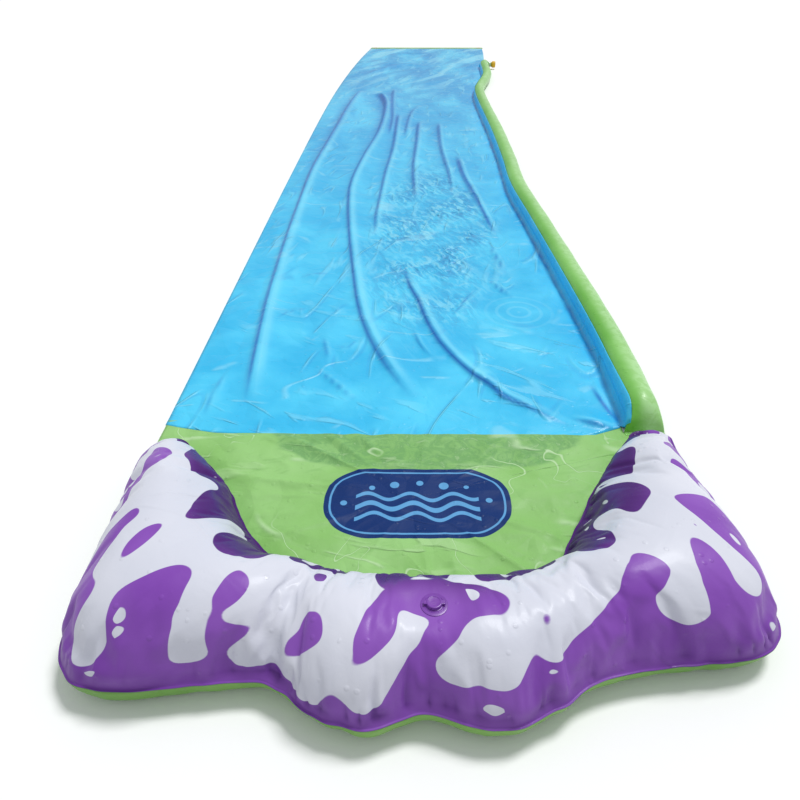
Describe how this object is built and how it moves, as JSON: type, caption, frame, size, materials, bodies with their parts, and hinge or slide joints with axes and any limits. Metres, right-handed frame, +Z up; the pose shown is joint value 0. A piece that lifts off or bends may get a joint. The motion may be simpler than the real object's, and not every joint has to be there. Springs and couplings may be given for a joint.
{
  "type": "water slide mat",
  "caption": "Garden water slide mat: flat film lane, side water tube with hose inlet, splash pad and U-shaped inflatable bumper with an air valve.",
  "frame": {"origin": "underside of the slide sheet, on its centre line, midway between the bumper's front lobes and the head edge, on the ground", "axes": "+Y along the lane from the splash pad to the head edge, +X towards the water tube's side, +Z up"},
  "size_m": [0.913, 4.908, 0.1025],
  "materials": {
    "lane_blue": "wet, glossy light blue vinyl film",
    "film_green": "wet, glossy grass green vinyl film",
    "hem_green": "welded double film, yellow-green",
    "print_purple": "glossy vinyl film, purple with white splash print",
    "fitting_yellow": "moulded yellow plastic",
    "plain_steel": "plain stainless",
    "washer_rubber": "black rubber",
    "eyelet_brass": "pressed brass",
    "valve_vinyl": "soft purple-tinted vinyl"
  },
  "bodies": {
    "mat": {"slide_sheet": "lane_blue", "head_hem": "hem_green", "left_eyelet": "eyelet_brass", "right_eyelet": "eyelet_brass", "water_tube": "film_green", "inlet_neck": "film_green", "clamp_band": "plain_steel", "hose_spigot": "fitting_yellow", "splash_pad": "film_green", "bumper_top_skin": "print_purple", "bumper_base_skin": "film_green", "valve_collar": "valve_vinyl"},
    "hose_nut": {"swivel_nut": "fitting_yellow", "hose_washer": "washer_rubber", "filter_screen": "plain_steel"},
    "air_valve": {"valve_stem": "valve_vinyl"},
    "air_plug": {"valve_plug": "valve_vinyl"},
    "air_flap": {"check_flap": "valve_vinyl"}
  },
  "joints": [
    {"name": "hose_nut_turn", "type": "hinge", "parent": "mat", "child": "hose_nut", "pos_m": [0.53, 1.489, 0.0245], "axis": [1, 0, 0], "continuous": true},
    {"name": "valve_pull", "type": "slide", "parent": "mat", "child": "air_valve", "axis": [0, 0, 1], "range_m": [0, 0.0115]},
    {"name": "plug_swing", "type": "hinge", "parent": "air_valve", "child": "air_plug", "pos_m": [0.046, -2.36593, 0.09353], "axis": [0, 1, 0], "range_deg": [0, 150]},
    {"name": "flap_swing", "type": "hinge", "parent": "air_valve", "child": "air_flap", "pos_m": [0.0298, -2.36593, 0.07638], "axis": [0, 1, 0], "range_deg": [0, 35], "stiffness_Nm_per_rad": 0.0001, "springref_deg": -5.73}
  ]
}
